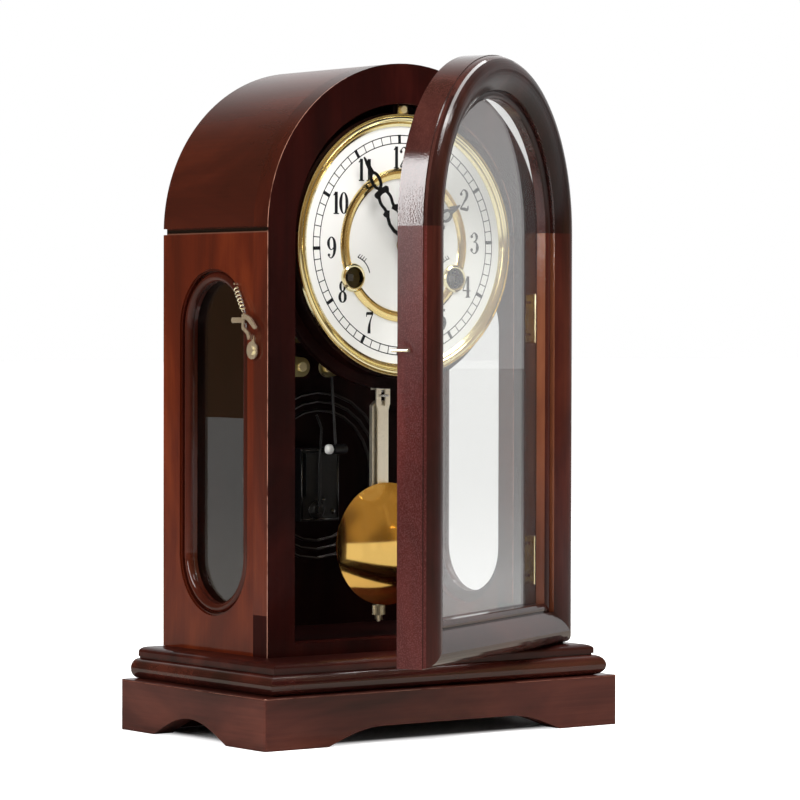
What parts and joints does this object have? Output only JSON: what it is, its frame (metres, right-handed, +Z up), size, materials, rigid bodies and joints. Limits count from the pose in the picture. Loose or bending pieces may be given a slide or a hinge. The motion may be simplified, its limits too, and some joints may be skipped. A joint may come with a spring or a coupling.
{
  "type": "pendulum desk clock",
  "caption": "Arched wooden desk clock on a stepped plinth: glazed hinged door, side windows, brass-rimmed dial, spring-driven movement, pendulum and coiled gong.",
  "frame": {"origin": "centre of the plinth's underside, which the clock stands on", "axes": "+Z up, front and dial towards -Y, +X to the right seen from the front"},
  "size_m": [0.267, 0.2306, 0.4105],
  "materials": {
    "lacquered_mahogany": "gloss lacquer over dark red-brown mahogany",
    "stained_board": "satin dark stain",
    "black_board": "satin black paint",
    "clear_glass": "clear, polished",
    "white_dial": "white paint with black print",
    "polished_brass": "polished and lacquered",
    "movement_brass": "satin",
    "steel": "plain steel",
    "dark_spring_steel": "dark tempered",
    "black_enamelled_metal": "gloss black",
    "cast_iron": "black, rough cast"
  },
  "bodies": {
    "case": {"plinth_front_board": "lacquered_mahogany", "plinth_rear_boards": "lacquered_mahogany", "torus_moulding": "lacquered_mahogany", "deck_board": "lacquered_mahogany", "floor_board": "stained_board", "left_side_panel": "lacquered_mahogany", "right_side_panel": "lacquered_mahogany", "arch_roof": "lacquered_mahogany", "front_frame": "lacquered_mahogany", "back_panel": "stained_board", "wood_screws": "polished_brass", "window_beads": "lacquered_mahogany", "window_glasses": "clear_glass", "latch_pivot_screw": "polished_brass", "latch_spring": "polished_brass", "hinge_case_leaves": "polished_brass", "hinge_pins": "polished_brass", "dial_ring_board": "black_board", "dial_plate": "white_dial", "dial_bezel": "polished_brass", "dial_inner_ring": "polished_brass", "winding_ferrules": "polished_brass", "movement_front_plate": "movement_brass", "movement_back_plate": "movement_brass", "pillar_nuts": "movement_brass", "mainsprings": "dark_spring_steel", "gong_block": "cast_iron", "gong_coil": "dark_spring_steel"},
    "door": {"door_arch_head": "lacquered_mahogany", "door_hinge_stile": "lacquered_mahogany", "door_latch_stile": "lacquered_mahogany", "door_bottom_rail": "lacquered_mahogany", "door_glass": "clear_glass", "door_glazing_bead": "lacquered_mahogany", "door_catch_pin": "polished_brass", "hinge_door_leaves": "polished_brass"},
    "latch": {"latch_hook": "polished_brass"},
    "pendulum": {"suspension_spring": "steel", "pendulum_rod": "polished_brass", "pendulum_bob": "polished_brass"},
    "rating_nut": {"rating_nut": "polished_brass"},
    "verge": {"verge_and_crutch": "steel"},
    "time_arbor": {"time_winding_arbor": "steel"},
    "strike_arbor": {"strike_winding_arbor": "steel"},
    "time_great": {"time_great_wheel": "movement_brass"},
    "time_second": {"time_second_wheel": "movement_brass"},
    "centre": {"centre_wheel": "movement_brass"},
    "fourth": {"fourth_wheel": "movement_brass"},
    "escape": {"escape_wheel": "movement_brass"},
    "minute": {"cannon_pinion": "movement_brass", "minute_hand": "black_enamelled_metal", "hand_nut": "polished_brass"},
    "minute_wheel": {"minute_wheel": "movement_brass"},
    "hour": {"hour_wheel": "movement_brass", "hour_hand": "black_enamelled_metal"},
    "strike_great": {"strike_great_wheel": "movement_brass"},
    "strike_second": {"strike_second_wheel": "movement_brass"},
    "strike_pin": {"strike_pin_wheel": "movement_brass"},
    "fly": {"strike_fly": "movement_brass"},
    "hammer": {"hammer": "black_enamelled_metal"}
  },
  "joints": [
    {"name": "door_hinge", "type": "hinge", "parent": "case", "child": "door", "pos_m": [0.1055, -0.03545, 0], "axis": [0, 0, 1], "range_deg": [-27.9, 82]},
    {"name": "latch_pivot", "type": "hinge", "parent": "case", "child": "latch", "pos_m": [-0.1058, -0.0214, 0.2334], "axis": [1, 0, 0], "range_deg": [0, 92], "deforming": ["latch_spring"]},
    {"name": "pendulum_swing", "type": "hinge", "parent": "case", "child": "pendulum", "pos_m": [0, -0.008, 0.2721], "axis": [0, 1, 0], "range_deg": [-5, 5], "deforming": ["suspension_spring"]},
    {"name": "verge_swing", "type": "hinge", "parent": "case", "child": "verge", "pos_m": [0, -0.003, 0.2721], "axis": [0, 1, 0], "range_deg": [-5, 5]},
    {"name": "rating_nut_turn", "type": "hinge", "parent": "pendulum", "child": "rating_nut", "pos_m": [0, -0.008, 0.073], "axis": [0, 0, 1], "continuous": true},
    {"name": "time_arbor_turn", "type": "hinge", "parent": "case", "child": "time_arbor", "pos_m": [0.0375, 0.01, 0.2774], "axis": [0, 1, 0], "continuous": true},
    {"name": "strike_arbor_turn", "type": "hinge", "parent": "case", "child": "strike_arbor", "pos_m": [-0.0375, 0.01, 0.2774], "axis": [0, 1, 0], "continuous": true},
    {"name": "fourth_wheel_turn", "type": "hinge", "parent": "case", "child": "fourth", "pos_m": [-0.00552, 0.005, 0.2761], "axis": [0, 1, 0], "continuous": true},
    {"name": "centre_wheel_turn", "type": "hinge", "parent": "case", "child": "centre", "pos_m": [0, 0.02, 0.2974], "axis": [0, 1, 0], "continuous": true},
    {"name": "time_second_turn", "type": "hinge", "parent": "case", "child": "time_second", "pos_m": [0.0227, 0.02, 0.3052], "axis": [0, 1, 0], "continuous": true},
    {"name": "time_great_turn", "type": "hinge", "parent": "case", "child": "time_great", "pos_m": [0.0375, 0.003, 0.2774], "axis": [0, 1, 0], "continuous": true},
    {"name": "escape_wheel_turn", "type": "hinge", "parent": "case", "child": "escape", "pos_m": [0, 0, 0.2574], "axis": [0, 1, 0], "continuous": true},
    {"name": "minute_turn", "type": "hinge", "parent": "case", "child": "minute", "pos_m": [0, -0.02, 0.2974], "axis": [0, 1, 0], "continuous": true},
    {"name": "minute_wheel_turn", "type": "hinge", "parent": "case", "child": "minute_wheel", "pos_m": [0.00771, -0.004, 0.30659], "axis": [0, 1, 0], "continuous": true},
    {"name": "hour_turn", "type": "hinge", "parent": "case", "child": "hour", "pos_m": [0, -0.02, 0.2974], "axis": [0, 1, 0], "continuous": true},
    {"name": "strike_pin_turn", "type": "hinge", "parent": "case", "child": "strike_pin", "pos_m": [-0.03612, 0.012, 0.32437], "axis": [0, 1, 0], "continuous": true},
    {"name": "strike_second_turn", "type": "hinge", "parent": "case", "child": "strike_second", "pos_m": [-0.0227, 0.02, 0.3052], "axis": [0, 1, 0], "continuous": true},
    {"name": "strike_great_turn", "type": "hinge", "parent": "case", "child": "strike_great", "pos_m": [-0.0375, 0.003, 0.2774], "axis": [0, 1, 0], "continuous": true},
    {"name": "fly_turn", "type": "hinge", "parent": "case", "child": "fly", "pos_m": [-0.02526, 0.015, 0.33348], "axis": [0, 1, 0], "continuous": true},
    {"name": "hammer_swing", "type": "hinge", "parent": "case", "child": "hammer", "pos_m": [-0.048, 0.015, 0.3094], "axis": [0, 1, 0], "range_deg": [-8, 0.8]}
  ],
  "couplings": [
    {"joint": "verge_swing", "follows": "pendulum_swing", "ratio": 1},
    {"joint": "centre_wheel_turn", "follows": "fourth_wheel_turn", "ratio": -0.1},
    {"joint": "time_second_turn", "follows": "fourth_wheel_turn", "ratio": 0.014286},
    {"joint": "time_great_turn", "follows": "fourth_wheel_turn", "ratio": -0.0017857},
    {"joint": "escape_wheel_turn", "follows": "fourth_wheel_turn", "ratio": -12},
    {"joint": "minute_wheel_turn", "follows": "minute_turn", "ratio": -0.33333},
    {"joint": "hour_turn", "follows": "minute_turn", "ratio": 0.083333},
    {"joint": "strike_second_turn", "follows": "strike_pin_turn", "ratio": -0.11429},
    {"joint": "strike_great_turn", "follows": "strike_pin_turn", "ratio": 0.014286},
    {"joint": "fly_turn", "follows": "strike_pin_turn", "ratio": -8}
  ]
}
